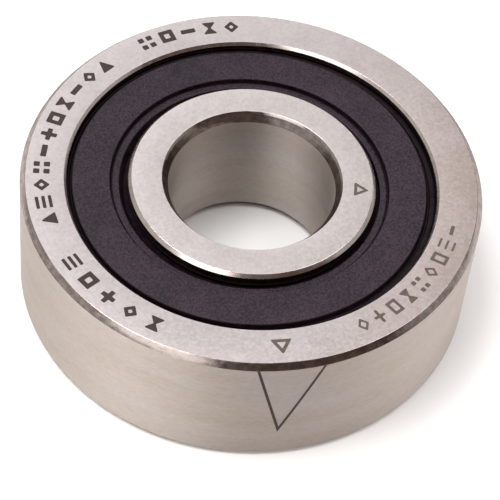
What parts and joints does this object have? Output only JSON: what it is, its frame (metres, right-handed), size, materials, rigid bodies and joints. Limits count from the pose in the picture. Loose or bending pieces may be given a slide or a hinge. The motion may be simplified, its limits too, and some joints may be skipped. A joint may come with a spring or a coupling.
{
  "type": "angular contact ball bearing",
  "caption": "Small sealed angular contact ball bearing: ground steel rings, rubber contact seals on both sides, caged balls.",
  "frame": {"origin": "on the bearing's axis at mid-width, which is also the centre of its bounding box and of the ball circle", "axes": "+Z along the axis, towards the marked face, which is the face beside the outer ring's full shoulder; +X through the centre of ball_1"},
  "size_m": [0.022, 0.022, 0.007],
  "materials": {
    "bearing_steel": "ground",
    "ball_steel": "polished",
    "seal_rubber": "matte",
    "cage_phenolic": "machined",
    "insert_steel": "pressed"
  },
  "bodies": {
    "outer_ring": {"outer_ring": "bearing_steel", "seal_top_rubber": "seal_rubber", "seal_top_insert": "insert_steel", "seal_bottom_rubber": "seal_rubber", "seal_bottom_insert": "insert_steel"},
    "inner_ring": {"inner_ring": "bearing_steel"},
    "cage": {"cage": "cage_phenolic"},
    "ball_1": {"ball_1": "ball_steel"},
    "ball_2": {"ball_2": "ball_steel"},
    "ball_3": {"ball_3": "ball_steel"},
    "ball_4": {"ball_4": "ball_steel"},
    "ball_5": {"ball_5": "ball_steel"},
    "ball_6": {"ball_6": "ball_steel"},
    "ball_7": {"ball_7": "ball_steel"},
    "ball_8": {"ball_8": "ball_steel"},
    "ball_9": {"ball_9": "ball_steel"}
  },
  "joints": [
    {"name": "inner_spin", "type": "hinge", "parent": "outer_ring", "child": "inner_ring", "pos_m": [0, 0, 0], "axis": [0, 0, 1], "continuous": true},
    {"name": "cage_spin", "type": "hinge", "parent": "outer_ring", "child": "cage", "pos_m": [0, 0, 0], "axis": [0, 0, 1], "continuous": true},
    {"name": "ball_1_spin", "type": "hinge", "parent": "cage", "child": "ball_1", "pos_m": [0.0075, 0, 0], "axis": [-0.2588, 0, 0.9659], "continuous": true},
    {"name": "ball_2_spin", "type": "hinge", "parent": "cage", "child": "ball_2", "pos_m": [0.00575, 0.00482, 0], "axis": [-0.1983, -0.1664, 0.9659], "continuous": true},
    {"name": "ball_3_spin", "type": "hinge", "parent": "cage", "child": "ball_3", "pos_m": [0.0013, 0.00739, 0], "axis": [-0.0449, -0.2549, 0.9659], "continuous": true},
    {"name": "ball_4_spin", "type": "hinge", "parent": "cage", "child": "ball_4", "pos_m": [-0.00375, 0.0065, 0], "axis": [0.1294, -0.2241, 0.9659], "continuous": true},
    {"name": "ball_5_spin", "type": "hinge", "parent": "cage", "child": "ball_5", "pos_m": [-0.00705, 0.00257, 0], "axis": [0.2432, -0.0885, 0.9659], "continuous": true},
    {"name": "ball_6_spin", "type": "hinge", "parent": "cage", "child": "ball_6", "pos_m": [-0.00705, -0.00257, 0], "axis": [0.2432, 0.0885, 0.9659], "continuous": true},
    {"name": "ball_7_spin", "type": "hinge", "parent": "cage", "child": "ball_7", "pos_m": [-0.00375, -0.0065, 0], "axis": [0.1294, 0.2241, 0.9659], "continuous": true},
    {"name": "ball_8_spin", "type": "hinge", "parent": "cage", "child": "ball_8", "pos_m": [0.0013, -0.00739, 0], "axis": [-0.0449, 0.2549, 0.9659], "continuous": true},
    {"name": "ball_9_spin", "type": "hinge", "parent": "cage", "child": "ball_9", "pos_m": [0.00575, -0.00482, 0], "axis": [-0.1983, 0.1664, 0.9659], "continuous": true}
  ],
  "couplings": [
    {"joint": "cage_spin", "follows": "inner_spin", "ratio": 0.37221},
    {"joint": "ball_1_spin", "follows": "inner_spin", "ratio": -1.7662},
    {"joint": "ball_2_spin", "follows": "inner_spin", "ratio": -1.7662},
    {"joint": "ball_3_spin", "follows": "inner_spin", "ratio": -1.7662},
    {"joint": "ball_4_spin", "follows": "inner_spin", "ratio": -1.7662},
    {"joint": "ball_5_spin", "follows": "inner_spin", "ratio": -1.7662},
    {"joint": "ball_6_spin", "follows": "inner_spin", "ratio": -1.7662},
    {"joint": "ball_7_spin", "follows": "inner_spin", "ratio": -1.7662},
    {"joint": "ball_8_spin", "follows": "inner_spin", "ratio": -1.7662},
    {"joint": "ball_9_spin", "follows": "inner_spin", "ratio": -1.7662}
  ]
}
